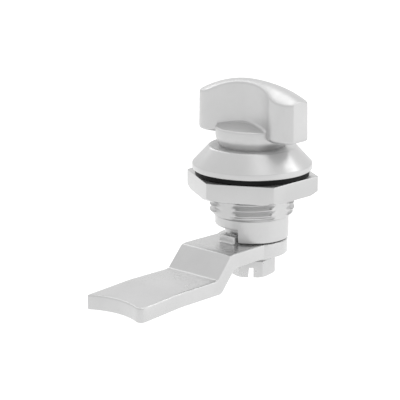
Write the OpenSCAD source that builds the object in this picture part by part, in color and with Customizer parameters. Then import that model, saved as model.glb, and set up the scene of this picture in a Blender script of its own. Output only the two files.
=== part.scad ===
// Quarter-turn panel lock with a wing knob and a cranked cam.
// Origin on the turning axis at the underside of the flange, +Z towards the knob, cam along -X, wing along Y.

/* [Housing flange] */
// How far the flange reaches past the flats of the nut
flange_over = 0.55; // [0.2:0.05:1]
// Height of the straight rim at the edge of the flange
flange_rim_h = 1.5; // [1:0.1:2.5]
// Height of the flange's flat top above its underside
flange_h = 6.2; // [5:0.1:8]
// Diameter of the flat top, where the cone ends
flange_top_d = 22.4; // [20:0.2:26]
// Small chamfer where the cone meets the flat top
flange_edge = 0.4; // [0.2:0.1:0.6]

/* [Housing barrel] */
// Outside diameter of the threaded barrel
thread_d = 22; // [20:0.5:24]
// Distance across the four flats milled along the thread
flats_w = 20; // [19:0.1:21]
// Length of the threaded part under the flange
thread_len = 11.2; // [10.5:0.1:13]
// Height of the lead-in cone at the end of the thread
lead_in_h = 1.4; // [0.8:0.1:2]
// Outside diameter of the plain stop skirt
skirt_d = 19.2; // [18:0.1:19.6]
// Depth of the skirt's lower edge under the flange
skirt_end = 18; // [16.5:0.1:20]
// Height of the cut-out that the cam's stop lug turns in
stop_cut_h = 3.3; // [2.8:0.1:3.6]

/* [Turning range] */
// Angle that the knob turns between its two stops
turn_angle = 90; // [60:1:100]
// Angle left between the lug's middle and each end of the cut-out
stop_margin = 20; // [19.5:0.5:26]

/* [Wing knob] */
// Length of the wing from end to end
wing_len = 32.4; // [30:0.1:38]
// Diameter of the wing's two round ends
wing_end_d = 10.5; // [9:0.1:12]
// How far each round end is cut back to a flat face
wing_end_flat = 0.7; // [0.3:0.1:1.2]
// Thickness of the wing in the middle, between its hollow sides
wing_mid_t = 5; // [4:0.1:6]
// Height of the wing's underside above the flange's underside
wing_low = 8.8; // [7.8:0.1:9]
// Height of the top of the wing's arch
wing_top = 23.2; // [20:0.1:26]
// How far the arch falls from the middle to the ends
wing_arch = 4; // [2:0.1:5]
// Radius of the crown across the wing's top
crown_r = 14; // [10:0.5:18]
// Diameter of the round hub below the wing
hub_d = 19.2; // [18:0.2:21]
// How far the hub's upper face rises from its rim to the axis
hub_rise = 1.9; // [1:0.1:2.4]
// Height of the rim of the hub's upper face
hub_top = 11.4; // [10.4:0.1:13]
// Height of the lower edge of the hub's straight side
hub_low = 8.7; // [8.4:0.1:9.6]
// Height of the coned shoulder from the hub down to the neck
hub_shoulder = 2.4; // [1:0.1:2.5]
// Diameter of the neck that enters the flange
neck_d = 16.6; // [15.6:0.2:17.4]
// Height of the seat in the flange that the neck turns on
neck_seat = 3.2; // [2.4:0.1:4]

/* [Spindle] */
// Diameter of the spindle in the housing's bore
spindle_d = 14; // [13:0.1:14.6]
// Width of the square that drives the cam
square_w = 8; // [7:0.1:8.6]
// Depth of the tapped hole, from the end of the square
tap_depth = 12; // [10:0.5:14]

/* [Spindle seal] */
// Thickness of the round sealing ring
seal_t = 1.8; // [1.4:0.1:2]
// Depth of the middle of the sealing ring under the flange
seal_z = 5; // [3:0.1:8]
// Room beside the sealing ring in its groove
seal_side_gap = 0.3; // [0.1:0.05:0.5]

/* [Gasket and nut] */
// How far the gasket's edge stays inside the flange's edge
gasket_inset = 0.75; // [0.4:0.05:1.2]
// Thickness of the flat gasket
gasket_t = 1.4; // [1:0.1:2]
// Width across the flats of the nut
nut_af = 30; // [28:0.5:34]
// Thickness of the nut
nut_h = 4.8; // [4:0.1:5.2]
// Diameter of the flat ring inside the nut's lower chamfer
nut_face_d = 32; // [30:0.2:33.4]
// Diameter of the flat ring inside the nut's upper chamfer
nut_top_face_d = 33.6; // [32:0.2:34.4]

/* [Cam] */
// Thickness of the cam
cam_t = 3.85; // [3:0.05:5]
// Distance from the axis to the tip's corners
cam_len = 50.9; // [46:0.1:56]
// Width of the arm at the axis
cam_root_w = 16.4; // [15:0.2:18]
// Width of the arm at its tip
cam_tip_w = 18.4; // [16:0.2:20]
// Diameter of the round end about the axis
cam_hub_d = 18.8; // [18:0.2:20]
// Distance from the axis to the upper bend
cam_bend_1 = 17.4; // [15:0.2:20]
// Distance along the arm from the upper to the lower bend
cam_bend_run = 5.2; // [4:0.1:8]
// Drop of the blade below the hub plate
cam_drop = 5.7; // [4:0.1:8]
// Distance from the axis to the fold where the tip begins to fall away
cam_fold = 36; // [32:0.2:42]
// Drop of the tip's upper face from the fold to the end
cam_tip_drop = 0.9; // [0.2:0.1:1.6]
// Depth of the hollow arc in the tip's end
cam_tip_hollow = 2.4; // [1:0.1:3]
// Width of the stop lug
lug_w = 5; // [3.5:0.1:5]
// Height of the stop lug above the hub plate
lug_h = 2; // [1.6:0.1:2.4]
// Distance from the axis to the lug's outer face
lug_out = 9.8; // [9.5:0.1:10.4]

/* [Cam screw] */
// Nominal diameter of the screw
screw_d = 6; // [5:0.5:6]
// Width across the flats of the screw's head
screw_af = 10.7; // [9:0.1:12]
// Height of the screw's head
screw_head_h = 4.4; // [3.6:0.1:5]
// Length of the screw under its head
screw_len = 12; // [10:0.5:14]
// Turn of the tightened screw about the axis
screw_turn = 9.5; // [0:0.5:60]
// Width of the slot across the head
slot_w = 1.5; // [1:0.1:2]
// Depth of the slot
slot_depth = 2.6; // [1.5:0.1:3]
// Diameter of the flat ring inside the head's chamfer
screw_face_d = 11.2; // [10:0.1:12]
// Outside diameter of the lock washer
washer_d = 10.8; // [10:0.1:12]
// Thickness of the lock washer
washer_t = 1.6; // [1:0.1:2]
// Width of the split in the lock washer
washer_split = 0.8; // [0.4:0.1:1.2]

/* [Clearances] */
// Radial play of the spindle in its bore
turn_play = 0.05; // [0.02:0.01:0.1]
// Radial play of the sealing ring in the bore
seal_play = 0.02; // [0.01:0.01:0.05]
// Radial play of the neck in the flange's recess
neck_play = 0.4; // [0.3:0.05:0.6]
// Radial play of the nut on the barrel
thread_play = 0.05; // [0.02:0.01:0.1]
// Radial play of the gasket round the barrel
gasket_play = 0.1; // [0.05:0.05:0.3]
// Play on each side of the square in the cam
square_play = 0.05; // [0.02:0.01:0.1]
// Radial play of the screw in its holes
screw_play = 0.05; // [0.02:0.01:0.1]
// Gap between the skirt's lower edge and the cam
cam_gap = 0.35; // [0.3:0.05:1]
// Room between the stop lug's inner face and the spindle
lug_gap = 0.4; // [0.3:0.1:0.8]
// How far the square stops short of the cam's underside
square_short = 0.2; // [0.1:0.1:0.5]

/* [Hidden] */
$fn = 96;
cut = 1;
flange_d = nut_af + 2 * flange_over;
gasket_d = flange_d - 2 * gasket_inset;
bore_d = spindle_d + 2 * turn_play;
recess_d = neck_d + 2 * neck_play;
skirt_top = thread_len + lead_in_h;
stop_cut_z = -(skirt_end - stop_cut_h);
cam_top = -(skirt_end + cam_gap);
cam_low = cam_top - cam_t;
square_end = cam_low + square_short;
blade_top = cam_top - cam_drop;
tip_top = blade_top - cam_tip_drop;
cam_bend_2 = cam_bend_1 + cam_bend_run;
ramp_angle = atan2(cam_drop, cam_bend_run);
bend_shift = cam_t * tan(ramp_angle / 2);
tip_half = cam_tip_w / 2;
tip_arc_r = (tip_half * tip_half + cam_tip_hollow * cam_tip_hollow) / (2 * cam_tip_hollow);
washer_low = cam_low - washer_t;
head_low = washer_low - screw_head_h;
seal_outer_d = bore_d - 2 * seal_play;
seal_mid_r = (seal_outer_d - seal_t) / 2;
groove_d = seal_outer_d - 2 * seal_t;
groove_w = seal_t + 2 * seal_side_gap;
wing_half = wing_len / 2;
arch_r = (wing_half * wing_half + wing_arch * wing_arch) / (2 * wing_arch);
end_r = wing_end_d / 2;
end_mid = wing_half + wing_end_flat - end_r;
side_r = (wing_mid_t * wing_mid_t / 4 + end_mid * end_mid - end_r * end_r) / (wing_end_d - wing_mid_t);
side_mid = wing_mid_t / 2 + side_r;
side_angle = atan2(end_mid, side_mid);
nut_corner_d = nut_af / cos(30);
screw_corner_d = screw_af / cos(30);
chamfer_slope = tan(30);

// Flat sector with its point on the axis, between two angles
module sector(from, to, reach) {
    steps = 4;
    turn = (to - from) / steps;
    polygon(concat([[0, 0]], [for (i = [0 : steps]) reach * [cos(from + i * turn), sin(from + i * turn)]]));
}

// Flat ring that stands on z
module ring(outer, inner, z, h) {
    translate([0, 0, z]) difference() {
        cylinder(h = h, d = outer);
        translate([0, 0, -cut]) cylinder(h = h + 2 * cut, d = inner);
    }
}

// Six-sided prism from z upwards, with a corner on X and its lower and upper corners turned off
module hexagon(corner, low_face, top_face, z, h) {
    low_rise = (corner - low_face) / 2 * chamfer_slope;
    top_rise = (corner - top_face) / 2 * chamfer_slope;
    translate([0, 0, z]) intersection() {
        cylinder(h = h, d = corner, $fn = 6);
        rotate_extrude() polygon([
            [0, 0],
            [low_face / 2, 0],
            [corner / 2, low_rise],
            [corner / 2, h - top_rise],
            [top_face / 2, h],
            [0, h],
        ]);
    }
}

// Body of the flange, turned about the axis
module flange_body() {
    rotate_extrude() polygon([
        [0, 0],
        [flange_d / 2, 0],
        [flange_d / 2, flange_rim_h],
        [flange_top_d / 2 + flange_edge, flange_h - flange_edge],
        [flange_top_d / 2 - flange_edge, flange_h],
        [0, flange_h],
    ]);
}

// Threaded barrel with its lead-in and four flats
module barrel_body() {
    intersection() {
        rotate_extrude() polygon([
            [0, 0],
            [0, -skirt_top],
            [skirt_d / 2, -skirt_top],
            [thread_d / 2, -thread_len],
            [thread_d / 2, 0],
        ]);
        translate([-flats_w / 2, -flats_w / 2, -skirt_top - cut]) cube([flats_w, flats_w, skirt_top + 2 * cut]);
    }
}

module housing() {
    // the cut-out reaches from the rest position of the lug to the far end of its turn
    first = 180 + stop_margin;
    last = 180 - turn_angle - stop_margin;
    color([0.80, 0.80, 0.80]) difference() {
        union() {
            flange_body();
            barrel_body();
            translate([0, 0, -skirt_end]) cylinder(h = skirt_end - thread_len, d = skirt_d);
        }
        translate([0, 0, neck_seat]) cylinder(h = flange_h, d = recess_d);
        translate([0, 0, -skirt_end - cut]) cylinder(h = skirt_end + flange_h + cut, d = bore_d);
        translate([0, 0, -skirt_end - cut]) linear_extrude(stop_cut_h + cut) sector(last, first, skirt_d);
    }
}

module flange_gasket() {
    color([0.05, 0.05, 0.05]) ring(gasket_d, thread_d + 2 * gasket_play, -gasket_t, gasket_t);
}

module hex_nut() {
    color([0.78, 0.78, 0.78]) difference() {
        hexagon(nut_corner_d, nut_face_d, nut_top_face_d, -gasket_t - nut_h, nut_h);
        translate([0, 0, -gasket_t - nut_h - cut]) cylinder(h = nut_h + 2 * cut, d = thread_d + 2 * thread_play);
    }
}

// Points of an arc about a centre, without its last one
function arc(centre, r, from, to, steps) =
    [for (i = [0:steps - 1]) centre + r * [cos(from + (to - from) * i / steps), sin(from + (to - from) * i / steps)]];

// Outline of the wing from above: two round ends, and hollow sides that run smoothly into them
module wing_outline() {
    intersection() {
        polygon(concat(
            arc([0, end_mid], end_r, -side_angle, 180 + side_angle, 28),
            arc([-side_mid, 0], side_r, side_angle, -side_angle, 16),
            arc([0, -end_mid], end_r, 180 - side_angle, 360 + side_angle, 28),
            arc([side_mid, 0], side_r, 180 + side_angle, 180 - side_angle, 16)
        ));
        square([2 * wing_end_d, wing_len], center = true);
    }
}

// Wing under its top, which is arched along it and crowned across it
module wing() {
    intersection() {
        translate([0, 0, wing_low]) linear_extrude(wing_top - wing_low + cut) wing_outline();
        translate([0, 0, wing_top - arch_r]) rotate([0, 90, 0]) rotate_extrude()
            translate([arch_r - crown_r, 0]) circle(r = crown_r);
    }
}

// Hub, neck and spindle turned about the axis, with the groove for the sealing ring
module spindle_body() {
    groove_top = -seal_z + groove_w / 2;
    groove_low = -seal_z - groove_w / 2;
    rotate_extrude() polygon([
        [0, hub_top + hub_rise],
        [hub_d / 2, hub_top],
        [hub_d / 2, hub_low],
        [neck_d / 2, hub_low - hub_shoulder],
        [neck_d / 2, neck_seat],
        [spindle_d / 2, neck_seat],
        [spindle_d / 2, groove_top],
        [groove_d / 2, groove_top],
        [groove_d / 2, groove_low],
        [spindle_d / 2, groove_low],
        [spindle_d / 2, cam_top],
        [0, cam_top],
    ]);
}

module wing_knob() {
    color([0.80, 0.80, 0.80]) difference() {
        union() {
            wing();
            spindle_body();
            translate([-square_w / 2, -square_w / 2, square_end]) cube([square_w, square_w, cam_top - square_end + cut]);
        }
        translate([0, 0, square_end - cut]) cylinder(h = tap_depth + cut, d = screw_d + 2 * screw_play);
    }
}

module spindle_seal() {
    color([0.04, 0.04, 0.04]) translate([0, 0, -seal_z]) rotate_extrude()
        translate([seal_mid_r, 0]) circle(d = seal_t);
}

// Cam from above: round end about the axis and an arm that widens to a hollow tip
module cam_outline() {
    difference() {
        union() {
            circle(d = cam_hub_d);
            polygon([
                [0, cam_root_w / 2],
                [-cam_len, tip_half],
                [-cam_len, -tip_half],
                [0, -cam_root_w / 2],
            ]);
        }
        translate([-cam_len + cam_tip_hollow - tip_arc_r, 0]) circle(r = tip_arc_r, $fn = 192);
    }
}

// Cam from the side: hub plate, ramp, blade and falling tip, all of one thickness
module cam_side() {
    reach = cam_hub_d;
    polygon([
        [reach, cam_top],
        [-cam_bend_1, cam_top],
        [-cam_bend_2, blade_top],
        [-cam_fold, blade_top],
        [-cam_len, tip_top],
        [-cam_len, tip_top - cam_t],
        [-cam_fold, blade_top - cam_t],
        [-cam_bend_2 + bend_shift, blade_top - cam_t],
        [-cam_bend_1 + bend_shift, cam_low],
        [reach, cam_low],
    ]);
}

module cam() {
    square_hole = square_w + 2 * square_play;
    lug_in = spindle_d / 2 + lug_gap;
    color([0.82, 0.82, 0.82]) difference() {
        union() {
            intersection() {
                translate([0, 0, tip_top - 2 * cam_t]) linear_extrude(cam_top - tip_top + 3 * cam_t) cam_outline();
                translate([0, cam_hub_d, 0]) rotate([90, 0, 0]) linear_extrude(2 * cam_hub_d) cam_side();
            }
            translate([-lug_out, -lug_w / 2, cam_low + cam_t / 2]) cube([lug_out - lug_in, lug_w, cam_t / 2 + lug_h]);
        }
        translate([-square_hole / 2, -square_hole / 2, cam_low - cut]) cube([square_hole, square_hole, cam_t + 2 * cut]);
    }
}

module lock_washer() {
    color([0.72, 0.72, 0.72]) difference() {
        ring(washer_d, screw_d + 2 * screw_play, washer_low, washer_t);
        translate([0, -washer_split / 2, washer_low - cut]) cube([washer_d, washer_split, washer_t + 2 * cut]);
    }
}

module cam_screw() {
    color([0.80, 0.80, 0.80]) rotate(screw_turn) difference() {
        union() {
            hexagon(screw_corner_d, screw_face_d, screw_corner_d, head_low, screw_head_h);
            translate([0, 0, washer_low - cut]) cylinder(h = screw_len + cut, d = screw_d);
        }
        rotate([0, 0, 30]) translate([-screw_corner_d, -slot_w / 2, head_low - cut])
            cube([2 * screw_corner_d, slot_w, slot_depth + cut]);
    }
}

housing();
flange_gasket();
hex_nut();
wing_knob();
spindle_seal();
cam();
lock_washer();
cam_screw();
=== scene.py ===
import logging
import math
from dataclasses import dataclass
from enum import Enum

import bmesh
import bpy
import numpy as np
from mathutils import Matrix, Vector


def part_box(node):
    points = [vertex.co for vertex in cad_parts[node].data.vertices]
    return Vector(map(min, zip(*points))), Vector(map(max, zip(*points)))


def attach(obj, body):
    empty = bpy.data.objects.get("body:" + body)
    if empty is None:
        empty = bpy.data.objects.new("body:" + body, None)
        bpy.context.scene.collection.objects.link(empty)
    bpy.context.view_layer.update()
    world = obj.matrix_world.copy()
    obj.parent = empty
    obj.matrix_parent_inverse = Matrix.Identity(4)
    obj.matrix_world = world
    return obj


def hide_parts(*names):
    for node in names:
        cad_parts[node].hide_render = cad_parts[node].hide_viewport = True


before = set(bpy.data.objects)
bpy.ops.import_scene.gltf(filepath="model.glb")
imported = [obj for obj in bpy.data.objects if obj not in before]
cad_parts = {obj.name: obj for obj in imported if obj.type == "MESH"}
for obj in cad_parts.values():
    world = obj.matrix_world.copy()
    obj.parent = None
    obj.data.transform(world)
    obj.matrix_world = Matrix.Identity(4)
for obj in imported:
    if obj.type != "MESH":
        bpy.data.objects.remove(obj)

LOG = logging.getLogger("wing_lock")
Grid = np.ndarray

# Metres in a millimetre, a full turn and a right angle
MM = 0.001
FULL = 2.0 * math.pi
QUARTER = math.pi / 2

# Largest share of a side that a rounding takes, and points in a polygon's corner
SIDE_SHARE = 0.49
CORNER_STEPS = 7

# Metres within which points merge, and below which an edge counts as nothing
MERGE = 2e-7
SLIVER = 1e-7

# A length in millimetres that keeps a division from failing
TINY = 1e-9

# How far a cutter or a side view runs past its piece, in millimetres
OVERRUN = 1.0

# Middle range of a noise, white, and the photograph's width in pixels
NOISE_ENDS = (0.3, 0.7)
WHITE = (1.0, 1.0, 1.0, 1.0)
PHOTO_WIDTH = 400.0


class Body(Enum):
    """The moving bodies of the lock."""

    CASE = "case"
    ROTOR = "rotor"
    NUT = "nut"


class Slot(Enum):
    """The material slots of the pieces."""

    CASTING = "casting"
    NUT = "nut_metal"
    CAM = "cam_metal"
    SCREW = "screw_steel"
    RUBBER = "seal_rubber"


def box_mm(node: str) -> tuple[list[float], list[float]]:
    """Reads a solid's box from the frame.

    Args:
        node: Name of the solid.

    Returns:
        Lowest and highest corner in millimetres.
    """
    low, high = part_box(node)
    return (np.array(low) / MM).tolist(), (np.array(high) / MM).tolist()


# Curves and outlines


def smooth(value: Grid) -> Grid:
    """Eases 0 to 1 with the cubic 3t^2 - 2t^3, held flat outside.

    Args:
        value: Plain share, which may run past 0 and 1.

    Returns:
        Eased share.
    """
    t = np.clip(value, 0.0, 1.0)
    return t * t * (3.0 - 2.0 * t)


def runs(spots: list[float], counts: list[int]) -> Grid:
    """Even steps from each spot to the next one, without the last spot.

    Args:
        spots: Places in order.
        counts: Steps between each place and the next.

    Returns:
        All the steps in one row.
    """
    pairs = zip(spots, spots[1:], counts)
    return np.concatenate([np.linspace(a, b, n, endpoint=False) for a, b, n in pairs])


def arc(centre: tuple[float, float], radius: float, start: float, end: float, steps: int) -> Grid:
    """Points of an arc: centre plus radius times (cos a, sin a), with a even from start to end.

    Args:
        centre: Centre of the arc.
        radius: Radius of the arc.
        start: First angle in radians.
        end: Last angle in radians, left out.
        steps: Number of points.

    Returns:
        Points of shape (steps, 2).
    """
    a = np.linspace(start, end, steps, endpoint=False)
    return np.stack([centre[0] + radius * np.cos(a), centre[1] + radius * np.sin(a)], -1)


def quarter(radius: float, steps: int) -> tuple[Grid, Grid]:
    """Quarter circle of a rounded rim: radius (1 - sin a) and radius (1 - cos a), for a up to a right angle.

    Args:
        radius: Radius of the rim.
        steps: Number of points.

    Returns:
        A distance that falls from the radius to 0 and one that grows from 0 to it, both as columns.
    """
    a = np.linspace(0.0, QUARTER, steps)[:, None]
    return radius * (1 - np.sin(a)), radius * (1 - np.cos(a))


def bend(start: Grid, corner: Grid, end: Grid, steps: int) -> Grid:
    """Quadratic curve with the corner P as its control point: (1-t)^2 A + 2t(1-t) P + t^2 B.

    Args:
        start: First point A.
        corner: Control point P.
        end: Last point B.
        steps: Number of points.

    Returns:
        Points of shape (steps, 2).
    """
    t = np.linspace(0.0, 1.0, steps)[:, None]
    return (1 - t) ** 2 * start + 2 * t * (1 - t) * corner + t * t * end


def rounded_path(corners: list[tuple[float, float, float]], steps: int = 5) -> Grid:
    """Open path through corners, each eased by a quadratic curve from reach before it to reach after it.

    Args:
        corners: Corner points with the reach of their rounding, (r, z, reach).
        steps: Points on each rounding.

    Returns:
        Points of shape (n, 2).
    """
    points = np.array([c[:2] for c in corners], float)
    parts = [points[:1]]
    for before, here, after, (_, _, reach) in zip(points, points[1:], points[2:], corners[1:]):
        sides = (before - here, after - here)
        back, ahead = (here + s * min(SIDE_SHARE, reach / max(np.linalg.norm(s), TINY)) for s in sides)
        parts.append(bend(back, here, ahead, steps) if reach > 0 else here[None])
    parts.append(points[-1:])
    return np.concatenate(parts)


def outward(outline: Grid) -> Grid:
    """Unit normals of a closed outline that runs counter-clockwise, from the chord across each point.

    Args:
        outline: Closed outline of shape (n, 2).

    Returns:
        Unit normals of shape (n, 2).
    """
    chord = np.roll(outline, -1, 0) - np.roll(outline, 1, 0)
    normal = np.stack([chord[:, 1], -chord[:, 0]], -1)
    return normal / np.linalg.norm(normal, axis=1, keepdims=True)


def polygon(sides: int, inner: float, corner_r: float, corner_at: float, steps: int) -> tuple[Grid, Grid]:
    """Polar outline of a regular polygon with rounded corners, its points close together in the corners.

    Away from a corner the radius is inner / cos(half - off), where off is the angle from the corner. Inside
    the rounding it is the far root of a circle of corner_r whose centre lies on the corner's own ray.

    Args:
        sides: Number of sides.
        inner: Radius of the inscribed circle.
        corner_r: Radius of the corners.
        corner_at: Angle of one corner.
        steps: Steps over one flat.

    Returns:
        Angles over one turn, without the closing one, and the radius at each.
    """
    half = math.pi / sides
    centre = (inner - corner_r) / math.cos(half)
    limit = math.atan2(corner_r * math.sin(half), centre + corner_r * math.cos(half))
    one = runs([-limit, limit, 2 * half - limit], [CORNER_STEPS, steps])
    turns = corner_at + 2 * half * np.arange(sides)
    angle = (turns[:, None] + one[None]).ravel()
    off = np.abs((angle - corner_at + half) % (2 * half) - half)
    flat = inner / np.cos(half - off)
    far_root = centre * np.cos(off) + np.sqrt(np.maximum(corner_r ** 2 - (centre * np.sin(off)) ** 2, 0.0))
    return angle, np.where(off < limit, far_root, flat)


# Surfaces


def around(radius: Grid, height: Grid, angle: Grid) -> Grid:
    """Grid of points at (r cos a, r sin a, z), one row for each level and one column for each angle.

    Args:
        radius: Radii of shape (rows, 1) or (rows, columns).
        height: Heights of shape (rows, 1) or (rows, columns).
        angle: Angles of the columns.

    Returns:
        Points of shape (rows, columns, 3).
    """
    r, z, a = np.broadcast_arrays(radius, height, angle[None, :])
    return np.stack([r * np.cos(a), r * np.sin(a), z], -1)


def lathe(profile: Grid, columns: int = 144) -> Grid:
    """Turns a profile of (r, z) points about the axis, with the closing column repeated.

    Args:
        profile: Profile of shape (n, 2).
        columns: Steps round the axis.

    Returns:
        Points of shape (n, columns + 1, 3).
    """
    return around(profile[:, :1], profile[:, 1:], np.linspace(0.0, FULL, columns + 1))


def closed(grid: Grid) -> Grid:
    """Repeats the first column of a grid after its last one."""
    return np.concatenate([grid, grid[:, :1]], 1)


def drawn_in(outline: Grid, insets: Grid) -> Grid:
    """Copies of an outline, each drawn in along its normals: row k is outline - inset_k * normal.

    Args:
        outline: Closed outline of shape (n, 2), counter-clockwise.
        insets: How far each row is drawn in, of shape (rows, 1) or (rows, n).

    Returns:
        Points of shape (rows, n, 2).
    """
    return outline[None] - insets[..., None] * outward(outline)[None]


def capped(rings: Grid, caps: int) -> tuple[Grid, Grid]:
    """Repeats the first and the last ring for the caps, which shrink evenly to a middle line.

    Args:
        rings: Rings of shape (rows, n, 2).
        caps: Rings in each cap.

    Returns:
        All rings, and their size as a share of the full one, of shape (rows, 1).
    """
    rows = np.concatenate([np.repeat(rings[:1], caps, 0), rings, np.repeat(rings[-1:], caps, 0)])
    grow, shrink = np.linspace(0, 1, caps + 1)[:-1], np.linspace(1, 0, caps + 1)[1:]
    return rows, np.concatenate([grow, np.ones(len(rings)), shrink])[:, None]


def stack(outline: Grid, heights: Grid, insets: Grid) -> Grid:
    """Closed block of drawn-in copies of an outline, whose end faces are drawn to a point over its middle.

    Args:
        outline: Closed outline of shape (n, 2), counter-clockwise.
        heights: Height of each row, as a column.
        insets: How far each row is drawn in, as a column.

    Returns:
        Points of shape (rows + 2, n + 1, 3).
    """
    flat = drawn_in(outline, insets)
    body = np.concatenate([flat, np.broadcast_to(heights[..., None], flat.shape[:2] + (1,))], -1)
    ends = [np.append(outline.mean(0), heights[k]) for k in (0, -1)]
    foot, top = (np.broadcast_to(end, (1,) + body.shape[1:]) for end in ends)
    return closed(np.concatenate([foot, body, top]))


def block(outline: Grid, low: float, high: float, edge: float) -> Grid:
    """Closed block over an outline, with its two rims bevelled.

    Args:
        outline: Closed outline of shape (n, 2), counter-clockwise.
        low: Height of the lower face.
        high: Height of the upper face.
        edge: Width of the bevels.

    Returns:
        Points of the grid.
    """
    fall, grow = quarter(edge, 2)
    return stack(outline, np.concatenate([low + grow, high - fall]), np.concatenate([fall, grow]))


class Shell:
    """Gathers grids of points and makes them one mesh object."""

    def __init__(self, name: str) -> None:
        """Starts an empty shell.

        Args:
            name: Name of the piece.
        """
        self.name = name
        self.points: list[Grid] = []
        self.faces: list[Grid] = []
        self.count = 0

    def add(self, grid: Grid) -> "Shell":
        """Adds one grid: face (i, j) joins the points (i, j), (i, j+1), (i+1, j+1) and (i+1, j).

        Args:
            grid: Points in millimetres, of shape (rows, columns, 3).

        Returns:
            The shell itself.
        """
        rows, columns = grid.shape[:2]
        index = self.count + np.arange(rows * columns).reshape(rows, columns)
        quads = np.stack([index[:-1, :-1], index[:-1, 1:], index[1:, 1:], index[1:, :-1]], -1)
        self.points.append(grid.reshape(-1, 3) * MM)
        self.faces.append(quads.reshape(-1, 4))
        self.count += rows * columns
        return self

    def build(self, sharp: float = 38.0) -> bpy.types.Object:
        """Makes the object, merges its seams, and turns its faces outwards.

        Args:
            sharp: Angle in degrees above which an edge stays sharp.

        Returns:
            The new object.
        """
        mesh = bpy.data.meshes.new(self.name)
        mesh.from_pydata(np.concatenate(self.points).tolist(), [], np.concatenate(self.faces).tolist())
        work = bmesh.new()
        work.from_mesh(mesh)
        bmesh.ops.remove_doubles(work, verts=work.verts, dist=MERGE)
        bmesh.ops.dissolve_degenerate(work, edges=work.edges, dist=SLIVER)
        bmesh.ops.recalc_face_normals(work, faces=work.faces)
        work.to_mesh(mesh)
        work.free()
        finish_shading(mesh, sharp)
        obj = bpy.data.objects.new(self.name, mesh)
        bpy.context.scene.collection.objects.link(obj)
        return obj


def finish_shading(mesh: bpy.types.Mesh, sharp: float) -> None:
    """Shades a mesh smooth, apart from edges that turn more than a given angle.

    Args:
        mesh: Mesh to shade.
        sharp: Angle in degrees.
    """
    mesh.polygons.foreach_set("use_smooth", np.ones(len(mesh.polygons), bool))
    mesh.set_sharp_from_angle(angle=math.radians(sharp))
    mesh.update()


def cut_away(obj: bpy.types.Object, cutter: bpy.types.Object, sharp: float) -> None:
    """Takes the cutter's volume out of a piece and removes the cutter.

    Args:
        obj: Piece to cut.
        cutter: Closed block that is taken out.
        sharp: Angle in degrees above which an edge stays sharp.
    """
    modifier = obj.modifiers.new("cut", "BOOLEAN")
    modifier.operation = "DIFFERENCE"
    modifier.solver = "EXACT"
    modifier.object = cutter
    graph = bpy.context.evaluated_depsgraph_get()
    mesh = bpy.data.meshes.new_from_object(obj.evaluated_get(graph))
    obj.modifiers.remove(modifier)
    old, spare = obj.data, cutter.data
    name = old.name
    obj.data = mesh
    bpy.data.objects.remove(cutter)
    bpy.data.meshes.remove(old)
    bpy.data.meshes.remove(spare)
    mesh.name = name
    finish_shading(mesh, sharp)


# Finishes


class NodeSheet:
    """The node tree of one material, with the few nodes that the finishes use."""

    def __init__(self, name: str) -> None:
        """Starts a material with its Principled shader.

        Args:
            name: Name of the material.
        """
        self.material = bpy.data.materials.new(name)
        self.material.use_nodes = True
        self.tree = self.material.node_tree
        self.shader = next(n for n in self.tree.nodes if n.type == "BSDF_PRINCIPLED")

    def node(self, kind: str) -> bpy.types.Node:
        """Adds a node of a kind."""
        return self.tree.nodes.new(kind)

    def join(self, start: bpy.types.NodeSocket, end: bpy.types.NodeSocket) -> None:
        """Links an output to an input."""
        self.tree.links.new(start, end)

    def place(self) -> bpy.types.NodeSocket:
        """Adds the Object coordinates."""
        return self.node("ShaderNodeTexCoord").outputs["Object"]

    def noise(self, where: bpy.types.NodeSocket, size: float, octaves: float) -> bpy.types.NodeSocket:
        """Noise whose blobs are about size millimetres across.

        Args:
            where: Coordinate socket.
            size: Size of a blob in millimetres.
            octaves: Octaves of finer noise.

        Returns:
            The factor socket.
        """
        texture = self.node("ShaderNodeTexNoise")
        texture.inputs["Scale"].default_value = 1.0 / (size * MM)
        texture.inputs["Detail"].default_value = octaves
        self.join(where, texture.inputs["Vector"])
        return texture.outputs["Fac"]

    def tint(self, factor: bpy.types.NodeSocket, low: float, high: float) -> None:
        """Gives the shader a grey that goes from low to high over the middle of a noise.

        Args:
            factor: Factor socket.
            low: First grey.
            high: Last grey.
        """
        ramp = self.node("ShaderNodeValToRGB")
        for element, spot, grey in zip(ramp.color_ramp.elements, NOISE_ENDS, (low, high)):
            element.position = spot
            element.color = (grey, grey, grey, 1.0)
        self.join(factor, ramp.inputs["Fac"])
        self.join(ramp.outputs["Color"], self.shader.inputs["Base Color"])

    def roughen(self, factor: bpy.types.NodeSocket, low: float, high: float) -> None:
        """Gives the shader a roughness that goes from low to high over the middle of a noise.

        Args:
            factor: Factor socket.
            low: Roughness at the noise's dark end.
            high: Roughness at its light end.
        """
        span = self.node("ShaderNodeMapRange")
        span.inputs["From Min"].default_value, span.inputs["From Max"].default_value = NOISE_ENDS
        span.inputs["To Min"].default_value = low
        span.inputs["To Max"].default_value = high
        self.join(factor, span.inputs["Value"])
        self.join(span.outputs["Result"], self.shader.inputs["Roughness"])

    def bump(self, height: bpy.types.NodeSocket, relief: float) -> None:
        """Gives the surface a relief.

        Args:
            height: Height socket.
            relief: Height of the relief in millimetres.
        """
        bump = self.node("ShaderNodeBump")
        bump.inputs["Strength"].default_value = 1.0
        bump.inputs["Distance"].default_value = relief * MM
        self.join(height, bump.inputs["Height"])
        self.join(bump.outputs["Normal"], self.shader.inputs["Normal"])


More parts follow.
